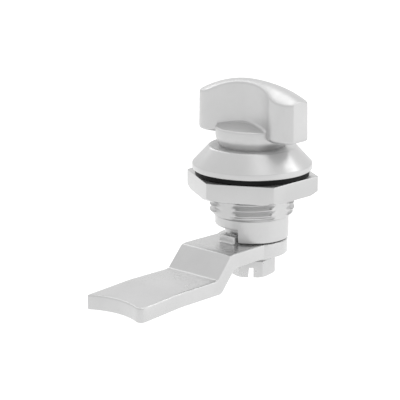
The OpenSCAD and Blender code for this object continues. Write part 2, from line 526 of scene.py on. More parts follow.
@dataclass(frozen=True)
class Metal:
    """A plated or cast metal finish.

    Attributes:
        name: Name of the finish.
        grey: Mean grey of the surface.
        rough: Lowest and highest roughness.
        grain: Size of the fine surface grain in millimetres.
        relief: Height of that grain in millimetres.
        spread: How far the grey wanders either way, as a share.
        metallic: How metallic the surface is.
        cloud: Size of the patches of lighter and darker grey in millimetres.
        speck: Size of the patches of roughness, in grains.
    """

    name: str
    grey: float
    rough: tuple[float, float]
    grain: float
    relief: float
    spread: float = 0.03
    metallic: float = 0.65
    cloud: float = 9.0
    speck: float = 4.0

    def make(self) -> bpy.types.Material:
        """Builds the material from noise on Object coordinates.

        Returns:
            The material.
        """
        nodes = NodeSheet(self.name)
        nodes.shader.inputs["Metallic"].default_value = self.metallic
        place = nodes.place()
        cloud = nodes.noise(place, self.cloud, octaves=4.0)
        nodes.tint(cloud, self.grey * (1 - self.spread), self.grey * (1 + self.spread))
        nodes.roughen(nodes.noise(place, self.grain * self.speck, octaves=3.0), *self.rough)
        nodes.bump(nodes.noise(place, self.grain, octaves=2.0), self.relief)
        return nodes.material


@dataclass(frozen=True)
class Rubber:
    """A black moulded rubber finish.

    Attributes:
        name: Name of the finish.
        grey: Mean grey.
        dusty: Grey of the dusty patches.
        rough: Lowest and highest roughness.
        grain: Size of the moulded grain in millimetres.
        relief: Height of that grain in millimetres.
        patch: Size of the dusty patches in millimetres.
        gloss: Strength of its mirror reflection.
    """

    name: str
    grey: float
    dusty: float
    rough: tuple[float, float]
    grain: float
    relief: float
    patch: float = 3.0
    gloss: float = 0.12

    def make(self) -> bpy.types.Material:
        """Builds the material from noise on Object coordinates.

        Returns:
            The material.
        """
        nodes = NodeSheet(self.name)
        nodes.shader.inputs["Specular IOR Level"].default_value = self.gloss
        place = nodes.place()
        dust = nodes.noise(place, self.patch, octaves=5.0)
        nodes.tint(dust, self.grey, self.dusty)
        nodes.roughen(dust, *self.rough)
        nodes.bump(nodes.noise(place, self.grain, octaves=3.0), self.relief)
        return nodes.material


@dataclass(frozen=True)
class Finishes:
    """The finishes of the lock."""

    casting: Metal = Metal("satin_casting", 0.615, (0.30, 0.38), 0.35, 0.001)
    barrel: Metal = Metal("turned_casting", 0.62, (0.28, 0.36), 0.30, 0.001)
    nut: Metal = Metal("machined_nut", 0.545, (0.18, 0.22), 0.25, 0.0002, metallic=0.8)
    cam: Metal = Metal("plated_sheet", 0.62, (0.20, 0.24), 0.60, 0.0002)
    screw: Metal = Metal("plated_screw", 0.61, (0.26, 0.32), 0.60, 0.0002)
    washer: Metal = Metal("spring_steel", 0.60, (0.26, 0.38), 0.20, 0.003, spread=0.05)
    rubber: Rubber = Rubber("black_rubber", 0.006, 0.012, (0.5, 0.66), 0.15, 0.006)


def settle(obj: bpy.types.Object, material: bpy.types.Material, body: Body, slot: Slot, *nodes: str) -> None:
    """Dresses a piece, ties it to its body and hides the solids that it stands for.

    Args:
        obj: The piece.
        material: Its material.
        body: The body that it rides on.
        slot: The record's material slot; not used.
        nodes: Solids that it replaces.
    """
    obj.data.materials.clear()
    obj.data.materials.append(material)
    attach(obj, body.value)
    if nodes:
        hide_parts(*nodes)
    LOG.info("%s: %d faces on %s", obj.name, len(obj.data.polygons), body.value)


# The lock's pieces


@dataclass
class Housing:
    """Flange, threaded barrel with four flats, and skirt with the cut-out for the cam's lug.

    Attributes:
        rim_h: Height of the flange's upright rim.
        top_r: Radius of the flange's flat top.
        top_fall: How far that top lies below the solid's.
        recess_r: Radius of the recess for the knob's neck.
        recess_z: Height of the recess's floor.
        bore_r: Radius of the bore.
        bore_start: How far over the cut-out's ceiling the bore's plain wall starts.
        thread_r: Outer radius of the thread.
        pitch: Pitch of the thread.
        depth: Depth of the thread as a share of its pitch.
        crest: Half the width of its crest, as a share of its pitch.
        flank: Width of a flank, as a share of its pitch.
        lag: How far the thread's start lies below the flange's underside.
        flat_half: Half the width over the flats.
        thread_low: Height of the thread's lower end.
        lead_low: Height where the lead-in cone ends.
        skirt_r: Radius of the skirt.
        cut_top: Height of the cut-out's ceiling.
        cut_from: First angle of the cut-out in degrees.
        cut_to: Last angle of the cut-out in degrees.
        cut_wall: Angle over which a wall of the cut-out stands, in radians.
        cut_near: Angle round such a wall with close columns, in radians.
        foot_edge: Rounding of the skirt's lower rims.
        seat_edge: Rounding of the recess's floor at both sides.
        mouth_edge: Rounding of the recess's rim.
        top_edge: Rounding of the flange's top.
        cone_edge: Rounding where the cone meets the rim.
        under_edge: Rounding of the rim's lower edge.
    """

    rim_h: float = 1.5
    top_r: float = 11.3
    top_fall: float = 0.15
    recess_r: float = 8.0
    recess_z: float = 3.2
    bore_r: float = 7.05
    bore_start: float = 2.0
    thread_r: float = 11.0
    pitch: float = 1.5
    depth: float = 0.61
    crest: float = 0.0625
    flank: float = 0.3125
    lag: float = 0.27
    flat_half: float = 10.0
    thread_low: float = -11.2
    lead_low: float = -12.3
    skirt_r: float = 9.6
    cut_top: float = -14.7
    cut_from: float = 70.0
    cut_to: float = 200.0
    cut_wall: float = 0.02
    cut_near: float = 0.05
    foot_edge: float = 0.25
    seat_edge: float = 0.3
    mouth_edge: float = 0.2
    top_edge: float = 0.5
    cone_edge: float = 0.2
    under_edge: float = 0.35

    def __post_init__(self) -> None:
        """Takes the outer sizes from the frame."""
        low, high = box_mm("housing")
        self.rim_r = high[0]
        self.top_z = high[2] - self.top_fall
        self.end_z = low[2]

    def angles(self) -> Grid:
        """Columns round the axis: close at the flats' edges and at the two ends of the cut-out.

        Returns:
            Angles from 0 to a full turn, both included.
        """
        edge = math.acos(self.flat_half / self.thread_r)
        one = runs([0.0, edge, QUARTER - edge, QUARTER], [11, 21, 11])
        turn = (one[None] + QUARTER * np.arange(4)[:, None]).ravel()
        near = np.linspace(-self.cut_near, self.cut_near, 11)
        walls = np.radians([self.cut_from, self.cut_to])[:, None] + near[None]
        return np.unique(np.round(np.concatenate([turn, walls.ravel(), [FULL]]), 6))

    def barrel_radius(self, angle: Grid, height: Grid) -> Grid:
        """Radius of the threaded barrel: the least of thread, flats and lead-in cone.

        The thread is a trapezoid wave of the phase (height + lag) / pitch - angle / full turn: a crest, a root
        and straight flanks between. A flat is flat_half / the greater of |cos| and |sin|.

        Args:
            angle: Angles in radians.
            height: Heights.

        Returns:
            Radii.
        """
        phase = np.abs(((height + self.lag) / self.pitch - angle / FULL) % 1.0 - 0.5)
        groove = np.clip((phase - self.crest) / self.flank, 0.0, 1.0)
        thread = self.thread_r - self.depth * self.pitch * groove
        flat = self.flat_half / np.maximum(np.abs(np.cos(angle)), np.abs(np.sin(angle)))
        fall = (self.thread_r - self.skirt_r) / (self.thread_low - self.lead_low)
        cone = self.thread_r - fall * (self.thread_low - height)
        return np.minimum(np.minimum(thread, flat), np.where(height < self.thread_low, cone, self.thread_r))

    def thread(self, angle: Grid) -> Grid:
        """Thread from the flange down to the lead-in, with rows that follow the helix.

        Each turn has six rows: in the root, on both flanks, and at the crest's middle and edges. A row that
        starts at height h runs at h + pitch * angle / full turn, held between the thread's ends.

        Args:
            angle: Columns round the axis.

        Returns:
            Points of the grid.
        """
        middle = 0.5
        offsets = [-middle, -self.flank, -self.crest, 0.0, self.crest, self.flank]
        turns = np.arange(math.floor(self.thread_low / self.pitch) - 2, 2)
        start = (turns[:, None] + (middle + np.array(offsets))[None]).ravel() * self.pitch - self.lag
        z = np.clip(start[:, None] + self.pitch * angle[None] / FULL, self.thread_low, 0.0)
        return around(self.barrel_radius(angle[None], z), z, angle)

    def rest(self, angle: Grid) -> Grid:
        """The other faces as one strip: lead-in, skirt, bore, recess, flange top, cone, rim and underside.

        The skirt's foot follows the angle: it is the cut-out's ceiling inside the cut-out and the skirt's end
        elsewhere, with a short eased wall between.

        Args:
            angle: Columns round the axis.

        Returns:
            Points of the grid.
        """
        first, last = math.radians(self.cut_from), math.radians(self.cut_to)
        after = smooth((angle - first) / self.cut_wall + 0.5)
        before = smooth((last - angle) / self.cut_wall + 0.5)
        foot = (self.end_z + (self.cut_top - self.end_z) * (after * before))[None]
        wide = np.zeros((1, len(angle)))
        lead_z = np.linspace(self.thread_low, self.lead_low, 9)[:, None] + wide
        lead_r = self.barrel_radius(angle[None], lead_z)
        lead_r[-1] = self.skirt_r
        fall, grow = quarter(self.foot_edge, 5)
        down = np.linspace(0.0, 1.0, 6)[1:, None]
        upper = rounded_path([
            (self.bore_r, self.cut_top + self.bore_start, 0.0),
            (self.bore_r, self.recess_z, self.seat_edge),
            (self.recess_r, self.recess_z, self.seat_edge),
            (self.recess_r, self.top_z, self.mouth_edge),
            (self.top_r, self.top_z, self.top_edge),
            (self.rim_r, self.rim_h, self.cone_edge),
            (self.rim_r, 0.0, self.under_edge),
            (self.thread_r, 0.0, 0.0),
        ], 7)
        strip = [
            (lead_r, lead_z),
            (self.skirt_r, self.lead_low + (foot + self.foot_edge - self.lead_low) * down),
            (self.skirt_r - grow, foot + fall),
            (self.bore_r + fall, foot + grow),
            (upper[:, :1], upper[:, 1:]),
            (self.barrel_radius(angle, 0 * angle)[None], 0.0),
        ]
        rows = [np.broadcast_arrays(r + wide, z + wide) for r, z in strip]
        radius, height = (np.concatenate(part) for part in zip(*rows))
        return around(radius, height, angle)

    def build(self, finishes: Finishes) -> None:
        """Makes and dresses the housing.

        Args:
            finishes: The finishes of the lock.
        """
        angle = self.angles()
        obj = Shell("housing_casting").add(self.thread(angle)).add(self.rest(angle)).build(32.0)
        settle(obj, finishes.barrel.make(), Body.CASE, Slot.CASTING, "housing")


@dataclass
class Gasket:
    """Flat rubber ring under the flange.

    Attributes:
        inner: Radius of its hole.
        edge: Rounding of its rims.
    """

    inner: float = 11.1
    edge: float = 0.3

    def build(self, rubber: bpy.types.Material) -> None:
        """Makes and dresses the ring.

        Args:
            rubber: Black rubber.
        """
        (_, _, low), (outer, _, high) = box_mm("flange_gasket")
        seam = ((self.inner + outer) / 2, low, 0.0)
        corners = [(outer, low), (outer, high), (self.inner, high), (self.inner, low)]
        path = [seam] + [(r, z, self.edge) for r, z in corners] + [seam]
        obj = Shell("flange_gasket_ring").add(lathe(rounded_path(path, 6))).build()
        settle(obj, rubber, Body.CASE, Slot.RUBBER, "flange_gasket")


@dataclass
class HexPiece:
    """Six-sided prism with coned ends: the fixing nut, or the head of the cam's screw.

    Attributes:
        low: Height of its lower face.
        high: Height of its upper face.
        across: Width over the flats.
        low_face: Radius of the lower face inside its cone.
        high_face: Radius of the upper face inside its cone.
        hole: Radius of the bore, or 0 for a solid head.
        corner_r: Radius of the six edges.
        edge: Rounding where the cones meet the faces.
        turn: Turn of its first corner about the axis in degrees.
        mouth: Bevel of the bore's ends.
        cone: Slope of the cones in degrees.
        knee: Share of the cone at its middle row, and that row's lift in roundings.
        heel: How far the row at the cone's end lies inside the flat, and its lift, in roundings.
        clear: Lift of the flat's first row, in roundings.
    """

    low: float
    high: float
    across: float
    low_face: float
    high_face: float
    hole: float = 0.0
    corner_r: float = 0.45
    edge: float = 0.18
    turn: float = 0.0
    mouth: float = 0.4
    cone: float = 30.0
    knee: tuple[float, float] = (0.62, 0.22)
    heel: tuple[float, float] = (0.10, 0.55)
    clear: float = 1.3

    def end(self, flat: Grid, face: float, z: float, up: float) -> list[tuple[Grid, Grid]]:
        """Rows of one end, from the bore or the axis out to the flats.

        The flats lie at the hexagon's polar radius r. The cone starts at its face's radius f and climbs by
        (r - f) times its slope, and where r is less than f there is none.

        Args:
            flat: Polar radius of the flats.
            face: Radius of the face inside the cone.
            z: Height of the face.
            up: 1 where the piece lies above the face, -1 where it lies below.

        Returns:
            Radius and height of each row.
        """
        rim = np.minimum(flat - self.edge, face)
        start = np.maximum((flat - face) * math.tan(math.radians(self.cone)), 0.0)
        share, lift = self.knee
        inside, rise = self.heel
        level = np.full_like(flat, z)
        bored = self.hole > 0
        rows = [
            (np.full_like(flat, self.hole + self.mouth * bored), level),
            (rim, level),
            (rim + (flat - rim) * share, z + up * (start * share + self.edge * lift)),
            (flat - self.edge * inside, z + up * (start + self.edge * rise)),
            (flat, z + up * (start + self.edge * self.clear)),
        ]
        return [(np.full_like(flat, self.hole), level + up * self.mouth)] * bored + rows

    def grid(self) -> Grid:
        """Strip from bore to bore: lower face, cone, flats, cone and upper face.

        Returns:
            Points of the grid.
        """
        angle, flat = polygon(6, self.across / 2, self.corner_r, 0.0, 26)
        foot = self.end(flat, self.low_face, self.low, 1.0)
        top = self.end(flat, self.high_face, self.high, -1.0)
        strip = foot + top[::-1] + foot[:1] * (self.hole > 0)
        radius, height = (np.stack(part) for part in zip(*strip))
        return closed(around(radius, height, angle + math.radians(self.turn)))


@dataclass
class Knob:
    """Wing on a round hub, with the neck, the spindle and the square that drives the cam.

    Attributes:
        length: Length of the wing.
        end_r: Radius of its round ends.
        end_flat: How far each round end is cut back to a flat face.
        mid_half: Half its thickness in the middle.
        low: Height of its underside.
        arch: Fall of the arch to the ends.
        dome_mid: Fall of the domed top from its crest to its rim, in the middle.
        dome_end: The same fall at the round ends.
        edge: Rounding of its upper rim.
        foot: Rounding of its lower rim.
        draft: How much the sides lean in towards the top.
        caps: Rings over its top and its underside.
        fillet: Fillet between wing and hub.
        fillet_gap: Distance from the hub's rim at which that fillet has gone.
        fillet_fade: Distance over which it fades there.
        hub_r: Radius of the hub.
        hub_top: Height of the rim of the hub's upper face.
        hub_rise: How far that face rises to the axis.
        hub_edge: Rounding of that rim.
        hub_low: Height of the hub's lower edge.
        shoulder: Height of the rounding from the hub down to the neck.
        bulge: How far that rounding's corner lies below the hub's lower edge.
        under_edge: Reach of the rounding under the hub.
        neck_r: Radius of the neck.
        neck_edge: Rounding of the neck's upper end.
        seat: Height of the neck's foot.
        seat_edge: Rounding of the neck's foot.
        stem_r: Radius of the spindle.
        stem_edge: Rounding of the spindle's end.
        groove_z: Height of the sealing ring's groove.
        groove_w: Width of that groove.
        groove_r: Radius at the bottom of that groove.
        groove_edge: Rounding of that groove's edges.
        square: Width of the square.
        square_top: Height where the square starts.
        square_low: Height of the square's end.
        square_corner: Radius of the square's edges.
        square_edge: Bevel of the square's end.
        square_sink: How far the square reaches into the spindle.
        tap_r: Radius of the tapped hole.
        tap_edge: Bevel of the tapped hole.
        tap_depth: Depth of the tapped hole.
    """

    length: float = 32.4
    end_r: float = 5.25
    end_flat: float = 0.7
    mid_half: float = 2.5
    low: float = 8.8
    arch: float = 4.0
    dome_mid: float = 0.95
    dome_end: float = 1.9
    edge: float = 0.35
    foot: float = 0.8
    draft: float = 0.2
    caps: int = 8
    fillet: float = 0.7
    fillet_gap: float = 0.1
    fillet_fade: float = 0.5
    hub_r: float = 9.6
    hub_top: float = 11.0
    hub_rise: float = 1.9
    hub_edge: float = 0.55
    hub_low: float = 8.7
    shoulder: float = 3.6
    bulge: float = 0.9
    under_edge: float = 1.6
    neck_r: float = 7.75
    neck_edge: float = 0.6
    seat: float = 3.2
    seat_edge: float = 0.2
    stem_r: float = 7.0
    stem_edge: float = 0.3
    groove_z: float = -5.0
    groove_w: float = 2.4
    groove_r: float = 5.23
    groove_edge: float = 0.1
    square: float = 8.0
    square_top: float = -18.35
    square_low: float = -22.0
    square_corner: float = 0.4
    square_edge: float = 0.2
    square_sink: float = 0.5
    tap_r: float = 3.05
    tap_edge: float = 0.3
    tap_depth: float = 12.0

    def __post_init__(self) -> None:
        """Takes the height of the arch from the frame and works out where the round ends sit."""
        self.top = box_mm("wing_knob")[1][2]
        self.end_mid = self.length / 2 + self.end_flat - self.end_r
        self.arch_r = ((self.length / 2) ** 2 + self.arch ** 2) / (2 * self.arch)

    def outline(self) -> Grid:
        """Outline of the wing from above: two round ends joined by hollow arcs that touch them, cut flat.

        Returns:
            Closed outline of shape (n, 2), counter-clockwise.
        """
        mid = self.end_mid
        hollow = (self.mid_half ** 2 + mid ** 2 - self.end_r ** 2) / (2 * (self.end_r - self.mid_half))
        side = self.mid_half + hollow
        lean = math.atan2(mid, side)
        plan = np.concatenate([
            arc((0, mid), self.end_r, -lean, math.pi + lean, 110),
            arc((-side, 0), hollow, lean, -lean, 56),
            arc((0, -mid), self.end_r, math.pi - lean, FULL + lean, 110),
            arc((side, 0), hollow, math.pi + lean, math.pi - lean, 56),
        ])
        plan[:, 1] = np.clip(plan[:, 1], -self.length / 2, self.length / 2)
        return plan

    def top_z(self, x: Grid, y: Grid) -> Grid:
        """Height of the top: an arch along the wing, domed across it.

        The crest is a circle of arch_r. From it the top falls by dome (x / half)^2, where the dome and the
        half width both ease from their middle values to those of the round ends.

        Args:
            x: Places across the wing.
            y: Places along the wing.

        Returns:
            Heights.
        """
        ease = smooth(np.abs(y) / self.end_mid)
        half = self.mid_half + (self.end_r - self.mid_half) * ease
        dome = self.dome_mid + (self.dome_end - self.dome_mid) * ease
        return self.top - self.arch_r + np.sqrt(self.arch_r ** 2 - y ** 2) - dome * (x / half) ** 2

    def wing(self) -> Grid:
        """The wing as rings from the middle of its underside, up its sides, to the middle of its top.

        Each ring is the outline moved along its normals. Caps draw a ring towards the middle line between the
        centres of the round ends: (k x, m + k (y - m)), with m the y held between those centres. The foot of
        the sides flares by a quarter circle where it stands on the hub's coned face.

        Returns:
            Points of the grid.
        """
        plan = self.outline()
        wide = np.zeros((1, len(plan)))
        reach = np.hypot(plan[:, 0], plan[:, 1])
        over_hub = smooth((self.hub_r - self.fillet_gap - reach) / self.fillet_fade)
        hub_z = self.hub_top + self.hub_rise * (1 - reach / self.hub_r)
        rim = self.top_z(plan[:, 0], plan[:, 1]) - self.edge
        base = self.low + self.foot
        step = np.linspace(0.0, 1.0, 9)[:, None]
        below = base + (hub_z - base)[None] * step
        fillet = hub_z[None] + self.fillet * step[1:] ** 1.5
        above = hub_z + self.fillet + (rim - hub_z - self.fillet)[None] * step[1:]
        side_z = np.concatenate([below, fillet, above])
        climb = np.clip((side_z - hub_z) / self.fillet, 0.0, 1.0)
        flare = self.fillet * (1 - np.sqrt(1 - (1 - climb) ** 2)) * over_hub
        side_in = self.draft * (side_z - self.low) / (self.top - self.low) - flare
        low_fall, low_grow = quarter(self.foot, 6)
        top_fall, top_grow = quarter(self.edge, 6)
        rings = drawn_in(plan, np.concatenate([low_fall + wide, side_in, side_in[-1:] + top_grow]))
        rows, share = capped(rings, self.caps)
        centre = np.clip(rows[..., 1], -self.end_mid, self.end_mid)
        x = rows[..., 0] * share
        y = centre + (rows[..., 1] - centre) * share
        top = self.top_z(x, y)
        z = np.concatenate([
            np.full((self.caps, len(plan)), self.low),
            self.low + low_grow + wide,
            side_z,
            top[-self.caps - len(top_fall):-self.caps] - top_fall,
            top[-self.caps:],
        ])
        return closed(np.stack([x, y, z], -1))

    def stem(self) -> Grid:
        """Hub, neck and grooved spindle turned about the axis.

        Returns:
            Points of the grid.
        """
        over, under = self.groove_z + self.groove_w / 2, self.groove_z - self.groove_w / 2
        return lathe(rounded_path([
            (0.0, self.hub_top + self.hub_rise, 0.0),
            (self.hub_r, self.hub_top, self.hub_edge),
            (self.hub_r, self.hub_low - self.bulge, self.under_edge),
            (self.neck_r, self.hub_low - self.shoulder, self.neck_edge),
            (self.neck_r, self.seat, self.seat_edge),
            (self.stem_r, self.seat, self.seat_edge),
            (self.stem_r, over, self.groove_edge),
            (self.groove_r, over, self.groove_edge),
            (self.groove_r, under, self.groove_edge),
            (self.stem_r, under, self.groove_edge),
            (self.stem_r, self.square_top, self.stem_edge),
            (0.0, self.square_top, 0.0),
        ], 7))

    def drive(self) -> Grid:
        """Square end with rounded edges and the tapped hole in its face.

        Returns:
            Points of the grid.
        """
        angle, side = polygon(4, self.square / 2, self.square_corner, math.pi / 4, 12)
        root = self.square_top + self.square_sink
        end = self.square_low
        strip = [
            (0.0, root),
            (side, root),
            (side, end + self.square_edge),
            (side - self.square_edge, end),
            (self.tap_r + self.tap_edge, end),
            (self.tap_r, end + self.tap_edge),
            (self.tap_r, end + self.tap_depth),
            (0.0, end + self.tap_depth),
        ]
        radius, height = (np.stack([value + 0 * side for value in part]) for part in zip(*strip))
        return closed(around(radius, height, angle))

    def build(self, finishes: Finishes) -> None:
        """Makes and dresses the knob.

        Args:
            finishes: The finishes of the lock.
        """
        shell = Shell("wing_knob_casting").add(self.wing()).add(self.stem()).add(self.drive())
        settle(shell.build(34.0), finishes.casting.make(), Body.ROTOR, Slot.CASTING, "wing_knob")


@dataclass
class Cam:
    """Cranked cam: hub plate, ramp, blade and falling tip of one thickness, with a stop lug.

    Attributes:
        thick: Thickness of the plate.
        length: Reach from the axis to the tip's corners.
        root_half: Half its width at the axis.
        tip_half: Half its width at the tip.
        hub_r: Radius of its round end.
        bend_1: Distance of the first bend from the axis.
        bend_2: Distance of the second bend.
        bend_reach: Reach of the rounding at the bends.
        drop: Fall over the ramp.
        fold: Distance where the tip starts to fall.
        fold_reach: Reach of the rounding at that fold.
        tip_drop: Fall of the tip.
        hollow: Depth of the tip's hollow.
        edge: Rounding of its rims.
        near_corner: Rounding of the tip's corner on the -Y side.
        far_corner: Rounding of the other corner.
        corner_gap: How far before the tip's near corner the plain edges end.
        caps: Rings over its top and its underside.
        spine_end: How far before the tip the middle line ends.
        hole: Width of the square hole.
        hole_corner: Radius of that hole's edges.
        hole_over: How far its cutter stands over the hub plate.
        hole_edge: Bevel of that cutter.
        lug_w: Width of the lug.
        lug_h: Height of the lug.
        lug_out: Reach of the lug's outer face.
        lug_in: Reach of the lug's inner face.
        lug_corner: Radius of the lug's upright edges.
        lug_edge: Rounding of the lug's upper rim.
        lug_foot: Fillet at the lug's foot.
        lug_sink: How far the lug reaches into the plate.
    """

    thick: float = 3.85
    length: float = 50.9
    root_half: float = 8.2
    tip_half: float = 9.2
    hub_r: float = 9.4
    bend_1: float = 17.4
    bend_2: float = 22.6
    bend_reach: float = 0.8
    drop: float = 5.7
    fold: float = 36.0
    fold_reach: float = 1.2
    tip_drop: float = 0.9
    hollow: float = 2.4
    edge: float = 0.4
    near_corner: float = 3.0
    far_corner: float = 0.9
    corner_gap: float = 0.5
    caps: int = 7
    spine_end: float = 5.0
    hole: float = 8.1
    hole_corner: float = 0.3
    hole_over: float = 0.8
    hole_edge: float = 0.05
    lug_w: float = 5.0
    lug_h: float = 2.0
    lug_out: float = 9.8
    lug_in: float = 7.4
    lug_corner: float = 0.35
    lug_edge: float = 0.35
    lug_foot: float = 0.5
    lug_sink: float = 1.5

    def __post_init__(self) -> None:
        """Takes the height of the hub plate from the frame."""
        self.top = box_mm("cam")[1][2] - self.lug_h

    def side(self, x: Grid, low: bool) -> Grid:
        """Height of the upper or lower face at x, from a path with rounded bends.

        Args:
            x: Places along the cam.
            low: True for the lower face.

        Returns:
            Heights.
        """
        ramp = math.atan2(self.drop, self.bend_2 - self.bend_1)
        shift = self.thick * math.tan(ramp / 2) * low
        down = self.thick * low
        blade = self.top - self.drop
        tip_fall = self.tip_drop * (1 + OVERRUN / (self.length - self.fold))
        path = rounded_path([
            (-self.length - OVERRUN, blade - tip_fall - down, 0.0),
            (-self.fold, blade - down, self.fold_reach),
            (-self.bend_2 + shift, blade - down, self.bend_reach),
            (-self.bend_1 + shift, self.top - down, self.bend_reach),
            (self.hub_r + OVERRUN, self.top - down, 0.0),
        ], 9)
        return np.interp(x, path[:, 0], path[:, 1])

    def outline(self) -> Grid:
        """Outline of the cam from above: round end, two edges that spread, and a hollow tip.

        Returns:
            Closed outline of shape (n, 2), counter-clockwise.
        """
        spread = (self.tip_half - self.root_half) / self.length
        start = QUARTER + (math.acos(self.root_half / self.hub_r) - math.atan(spread))
        edges_end = self.length - self.near_corner - self.corner_gap
        spots = [-self.hub_r * math.cos(start), self.bend_1, self.bend_2, self.fold, edges_end]
        x = -runs(spots, [10, 36, 12, 14])
        half = self.root_half - spread * x
        radius = (self.tip_half ** 2 + self.hollow ** 2) / (2 * self.hollow)
        sweep = math.asin(self.tip_half / radius)
        tip = arc((-self.length + self.hollow - radius, 0.0), radius, sweep, -sweep, 40)
        far, near = np.array([-self.length, self.tip_half]), np.array([-self.length, -self.tip_half])
        tip = tip[np.hypot(*(tip - far).T) > self.far_corner]
        tip = tip[np.hypot(*(tip - near).T) > self.near_corner]
        far_from = far + np.array([1.0, -spread]) * self.far_corner
        near_to = near + np.array([1.0, spread]) * self.near_corner
        return np.concatenate([
            arc((0.0, 0.0), self.hub_r, -start, start, 90),
            np.stack([x, half], -1),
            bend(far_from, far, tip[0], 8),
            tip[1:-1],
            bend(tip[-1], near, near_to, 8),
            np.stack([x, -half], -1)[::-1],
        ])

    def plate(self) -> Grid:
        """The plate as rings from the middle line of its underside, round its edge, to that of its top.

        Caps draw a ring towards the middle line: (m + k (x - m), k y), with m the x held on that line, and
        every point takes its height from the side view.

        Returns:
            Points of the grid.
        """
        fall, grow = quarter(self.edge, 6)
        rows, share = capped(drawn_in(self.outline(), np.concatenate([fall, grow])), self.caps)
        flat = np.zeros((self.caps, 1))
        centre = np.clip(rows[..., 0], -self.length + self.spine_end, 0.0)
        x = centre + (rows[..., 0] - centre) * share
        y = rows[..., 1] * share
        under = self.caps + len(fall)
        faces = np.concatenate([self.side(x[:under], True), self.side(x[under:], False)])
        z = faces + np.concatenate([flat, grow, -fall, flat])
        return closed(np.stack([x, y, z], -1))

    def lug(self) -> Grid:
        """Stop lug: a block with rounded edges, whose foot flares out to the plate by a quarter circle.

        Returns:
            Points of the grid.
        """
        r = self.lug_corner
        high, low = self.lug_w / 2 - r, -self.lug_w / 2 + r
        inner, outer = -self.lug_in - r, -self.lug_out + r
        spots = [(inner, high), (outer, high), (outer, low), (inner, low)]
        corners = [arc(spot, r, k * QUARTER, (k + 1) * QUARTER, 6) for k, spot in enumerate(spots)]
        foot_fall, foot_grow = quarter(self.lug_foot, 6)
        rim_fall, rim_grow = quarter(self.lug_edge, 6)
        heights = self.top + np.concatenate([[[-self.lug_sink]], foot_grow, self.lug_h - rim_fall])
        insets = np.concatenate([[[-self.lug_foot]], -foot_fall, rim_grow])
        return stack(np.concatenate(corners), heights, insets)

    def build(self, finishes: Finishes) -> None:
        """Makes the cam, cuts its square hole and dresses it.

        Args:
            finishes: The finishes of the lock.
        """
        sharp = 40.0
        obj = Shell("cam_plate").add(self.plate()).add(self.lug()).build(sharp)
        angle, side = polygon(4, self.hole / 2, self.hole_corner, math.pi / 4, 8)
        plan = np.stack([side * np.cos(angle), side * np.sin(angle)], -1)
        hole = block(plan, self.top - self.thick - OVERRUN, self.top + self.hole_over, self.hole_edge)
        cut_away(obj, Shell("cam_hole").add(hole).build(), sharp)
        settle(obj, finishes.cam.make(), Body.ROTOR, Slot.CAM, "cam")


@dataclass
class Fastening:
    """Fixing nut on the barrel, and the slotted screw that holds the cam.

    Attributes:
        nut_across: Width of the nut over its flats.
        nut_low_face: Radius of the nut's lower face.
        nut_high_face: Radius of its upper face.
        nut_hole: Radius of its bore.
        head_across: Width of the screw's head over its flats.
        head_h: Height of the screw's head.
        head_face: Radius of the head's outer face.
        head_corner: Radius of the head's six edges.
        head_edge: Rounding where the head's cone meets its face.
        head_turn: Turn of the tightened screw about the axis in degrees.
        shank_r: Radius of the shank.
        shank_sink: How far the shank reaches into the head.
        shank_edge: Rounding of the shank's end.
        slot_w: Width of the slot.
        slot_depth: Depth of the slot.
        slot_edge: Bevel of the slot's cutter.
        slot_turn: Turn of the slot from the head's corner in degrees.
        sharp: Angle in degrees above which an edge of these pieces stays sharp.
    """

    nut_across: float = 30.0
    nut_low_face: float = 16.0
    nut_high_face: float = 17.2
    nut_hole: float = 11.05
    head_across: float = 10.7
    head_h: float = 4.4
    head_face: float = 5.6
    head_corner: float = 0.3
    head_edge: float = 0.15
    head_turn: float = 9.5
    shank_r: float = 2.95
    shank_sink: float = 0.5
    shank_edge: float = 0.5
    slot_w: float = 1.35
    slot_depth: float = 2.6
    slot_edge: float = 0.02
    slot_turn: float = 30.0
    sharp: float = 30.0

    def build_nut(self, finishes: Finishes) -> None:
        """Makes and dresses the nut.

        Args:
            finishes: The finishes of the lock.
        """
        (_, _, low), (_, _, high) = box_mm("hex_nut")
        nut = HexPiece(low, high, self.nut_across, self.nut_low_face, self.nut_high_face, self.nut_hole)
        obj = Shell("hex_nut_body").add(nut.grid()).build(self.sharp)
        settle(obj, finishes.nut.make(), Body.NUT, Slot.NUT, "hex_nut")

    def build_screw(self, finishes: Finishes) -> None:
        """Makes the screw's head and shank, cuts the slot and dresses it.

        Args:
            finishes: The finishes of the lock.
        """
        (_, _, low), (_, _, high) = box_mm("cam_screw")
        seat = low + self.head_h
        corner = self.head_across / 2 / math.cos(math.pi / 6)
        head = HexPiece(low, seat, self.head_across, self.head_face, corner)
        head.corner_r, head.edge, head.turn = self.head_corner, self.head_edge, self.head_turn
        shank = rounded_path([
            (0.0, seat - self.shank_sink, 0.0),
            (self.shank_r, seat - self.shank_sink, 0.0),
            (self.shank_r, high, self.shank_edge),
            (0.0, high, 0.0),
        ])
        obj = Shell("cam_screw_body").add(head.grid()).add(lathe(shank, 48)).build(self.sharp)
        reach, half = self.head_across, self.slot_w / 2
        turn = math.radians(self.head_turn + self.slot_turn)
        plan = np.array([(-reach, -half), (reach, -half), (reach, half), (-reach, half)])
        plan = plan @ np.array([[math.cos(turn), math.sin(turn)], [-math.sin(turn), math.cos(turn)]])
        slot = block(plan, low - OVERRUN, low + self.slot_depth, self.slot_edge)
        cut_away(obj, Shell("slot_block").add(slot).build(), self.sharp)
        settle(obj, finishes.screw.make(), Body.ROTOR, Slot.SCREW, "cam_screw")


def dress_solid(node: str, material: bpy.types.Material) -> None:
    """Gives a solid that stays as it is its material.

    Args:
        node: Name of the solid.
        material: Its material.
    """
    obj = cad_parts[node]
    for slot in obj.material_slots:
        slot.material = material
    if not obj.material_slots:
        obj.data.materials.append(material)
    LOG.info("%s keeps its solid", node)


